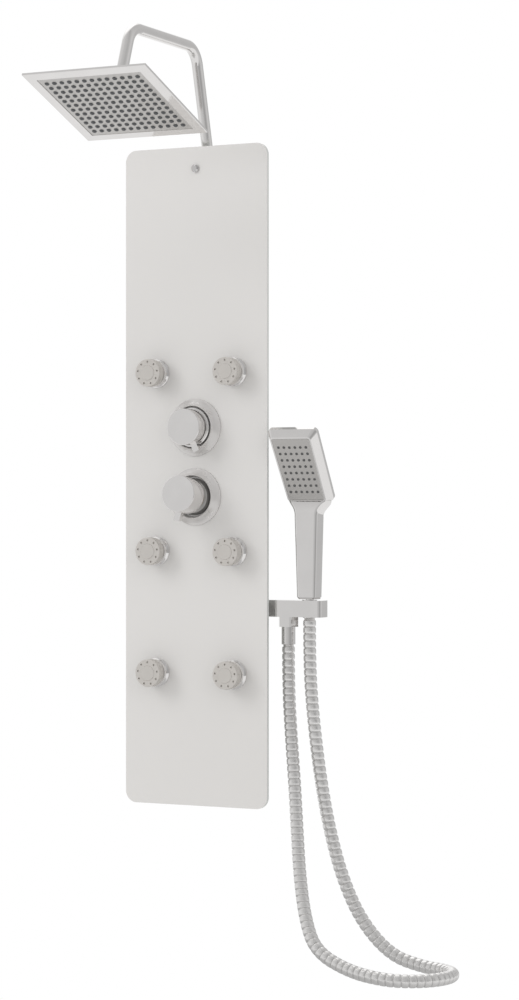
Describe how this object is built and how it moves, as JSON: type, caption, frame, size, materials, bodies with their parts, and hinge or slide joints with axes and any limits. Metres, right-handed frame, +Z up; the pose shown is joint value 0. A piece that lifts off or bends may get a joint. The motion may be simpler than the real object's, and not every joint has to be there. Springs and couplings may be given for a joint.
{
  "type": "shower panel column",
  "caption": "Wall-hung shower panel column with overhead square rain head on a bent arm, body jets, diverter and mixer knobs, and a handset on a ribbed hose.",
  "frame": {"origin": "centre of the rectangle of four wall screws, on the wall", "axes": "+Z up, +Y into the wall, the front faces -Y, +X to the right as seen from the front"},
  "size_m": [0.5582, 0.3989, 1.392],
  "materials": {
    "white_glass": "back-painted white tempered glass, glossy",
    "chrome": "polished chrome plate on brass",
    "satin_face": "satin silver plated plastic",
    "soft_nozzle": "soft silicone, grey",
    "dark_plastic": "dark acetal",
    "steel_sheet": "folded stainless sheet",
    "brass": "raw cast and turned brass",
    "pipe": "white plastic water pipe",
    "hose_metal": "ribbed metal-sleeved hose"
  },
  "bodies": {
    "panel": {"glass_panel": "white_glass", "back_housing": "steel_sheet", "wall_bracket_upper": "steel_sheet", "wall_bracket_lower": "steel_sheet", "hanger_hooks": "steel_sheet", "fixing_stud": "chrome", "shower_arm": "chrome", "arm_nipple": "chrome", "arm_locknut": "brass", "riser_pipe": "pipe", "head_union_nut": "chrome", "mixer_valve_body": "brass", "mixer_flange": "chrome", "mixer_socket": "dark_plastic", "diverter_valve_body": "brass", "diverter_flange": "chrome", "diverter_socket": "dark_plastic", "mixer_link_pipe": "pipe", "hot_inlet": "brass", "cold_inlet": "brass", "jet_pipes": "pipe", "jet_backnuts": "brass", "jet_ring_1": "chrome", "jet_ring_2": "chrome", "jet_ring_3": "chrome", "jet_ring_4": "chrome", "jet_ring_5": "chrome", "jet_ring_6": "chrome", "handset_feed_pipe": "pipe", "handset_bracket": "chrome", "bracket_nipple": "brass", "hose_nut": "chrome", "hose": "hose_metal"},
    "head_swivel": {"head_ball": "chrome"},
    "head_rocker": {"ball_seat": "dark_plastic"},
    "rain_head": {"head_collar": "chrome", "head_shell": "chrome", "head_face_plate": "satin_face", "head_nozzles": "soft_nozzle"},
    "mixer_stem": {"mixer_spindle": "brass"},
    "mixer_handle": {"mixer_knob": "chrome"},
    "diverter": {"diverter_spindle": "brass", "diverter_knob": "chrome"},
    "jet_1_gimbal": {"jet_seal_1": "dark_plastic"},
    "jet_1_nozzle": {"jet_head_1": "satin_face"},
    "jet_2_gimbal": {"jet_seal_2": "dark_plastic"},
    "jet_2_nozzle": {"jet_head_2": "satin_face"},
    "jet_3_gimbal": {"jet_seal_3": "dark_plastic"},
    "jet_3_nozzle": {"jet_head_3": "satin_face"},
    "jet_4_gimbal": {"jet_seal_4": "dark_plastic"},
    "jet_4_nozzle": {"jet_head_4": "satin_face"},
    "jet_5_gimbal": {"jet_seal_5": "dark_plastic"},
    "jet_5_nozzle": {"jet_head_5": "satin_face"},
    "jet_6_gimbal": {"jet_seal_6": "dark_plastic"},
    "jet_6_nozzle": {"jet_head_6": "satin_face"},
    "hose_end": {"hose_cone_nut": "chrome"},
    "handset": {"handset_body": "chrome", "handset_face": "satin_face", "handset_nozzles": "soft_nozzle"}
  },
  "joints": [
    {"name": "head_spin", "type": "hinge", "parent": "panel", "child": "head_swivel", "pos_m": [0, -0.29794, 0.55171], "axis": [0, 0.3518, 0.9361], "continuous": true},
    {"name": "head_pitch", "type": "hinge", "parent": "head_swivel", "child": "head_rocker", "pos_m": [0, -0.29794, 0.55171], "axis": [1, 0, 0], "range_deg": [-15, 15]},
    {"name": "head_roll", "type": "hinge", "parent": "head_rocker", "child": "rain_head", "pos_m": [0, -0.29794, 0.55171], "axis": [0, 0.9361, -0.3518], "range_deg": [-15, 15]},
    {"name": "mixer_turn", "type": "hinge", "parent": "panel", "child": "mixer_stem", "pos_m": [0, -0.074, -0.031], "axis": [0, -1, 0], "range_deg": [-45, 45]},
    {"name": "mixer_tilt", "type": "hinge", "parent": "mixer_stem", "child": "mixer_handle", "pos_m": [0, -0.074, -0.031], "axis": [-1, 0, 0], "range_deg": [-6, 12]},
    {"name": "diverter_turn", "type": "hinge", "parent": "panel", "child": "diverter", "pos_m": [0, -0.06, 0.074], "axis": [0, -1, 0], "range_deg": [-60, 60]},
    {"name": "jet_1_pan", "type": "hinge", "parent": "panel", "child": "jet_1_gimbal", "pos_m": [-0.066, -0.065, 0.157], "axis": [0, 0, 1], "range_deg": [-12, 12]},
    {"name": "jet_1_tilt", "type": "hinge", "parent": "jet_1_gimbal", "child": "jet_1_nozzle", "pos_m": [-0.066, -0.065, 0.157], "axis": [1, 0, 0], "range_deg": [-12, 12]},
    {"name": "jet_2_pan", "type": "hinge", "parent": "panel", "child": "jet_2_gimbal", "pos_m": [0.066, -0.065, 0.157], "axis": [0, 0, 1], "range_deg": [-12, 12]},
    {"name": "jet_2_tilt", "type": "hinge", "parent": "jet_2_gimbal", "child": "jet_2_nozzle", "pos_m": [0.066, -0.065, 0.157], "axis": [1, 0, 0], "range_deg": [-12, 12]},
    {"name": "jet_3_pan", "type": "hinge", "parent": "panel", "child": "jet_3_gimbal", "pos_m": [-0.066, -0.065, -0.114], "axis": [0, 0, 1], "range_deg": [-12, 12]},
    {"name": "jet_3_tilt", "type": "hinge", "parent": "jet_3_gimbal", "child": "jet_3_nozzle", "pos_m": [-0.066, -0.065, -0.114], "axis": [1, 0, 0], "range_deg": [-12, 12]},
    {"name": "jet_4_pan", "type": "hinge", "parent": "panel", "child": "jet_4_gimbal", "pos_m": [0.066, -0.065, -0.114], "axis": [0, 0, 1], "range_deg": [-12, 12]},
    {"name": "jet_4_tilt", "type": "hinge", "parent": "jet_4_gimbal", "child": "jet_4_nozzle", "pos_m": [0.066, -0.065, -0.114], "axis": [1, 0, 0], "range_deg": [-12, 12]},
    {"name": "jet_5_pan", "type": "hinge", "parent": "panel", "child": "jet_5_gimbal", "pos_m": [-0.066, -0.065, -0.299], "axis": [0, 0, 1], "range_deg": [-12, 12]},
    {"name": "jet_5_tilt", "type": "hinge", "parent": "jet_5_gimbal", "child": "jet_5_nozzle", "pos_m": [-0.066, -0.065, -0.299], "axis": [1, 0, 0], "range_deg": [-12, 12]},
    {"name": "jet_6_pan", "type": "hinge", "parent": "panel", "child": "jet_6_gimbal", "pos_m": [0.066, -0.065, -0.299], "axis": [0, 0, 1], "range_deg": [-12, 12]},
    {"name": "jet_6_tilt", "type": "hinge", "parent": "jet_6_gimbal", "child": "jet_6_nozzle", "pos_m": [0.066, -0.065, -0.299], "axis": [1, 0, 0], "range_deg": [-12, 12]},
    {"name": "handset_lift", "type": "slide", "parent": "panel", "child": "hose_end", "axis": [0, 0, 1], "range_m": [0, 0.15], "deforming": ["hose"]},
    {"name": "handset_turn", "type": "hinge", "parent": "hose_end", "child": "handset", "pos_m": [0.1765, -0.0285, -0.185], "axis": [0, 0, 1], "range_deg": [-15, 15]}
  ]
}
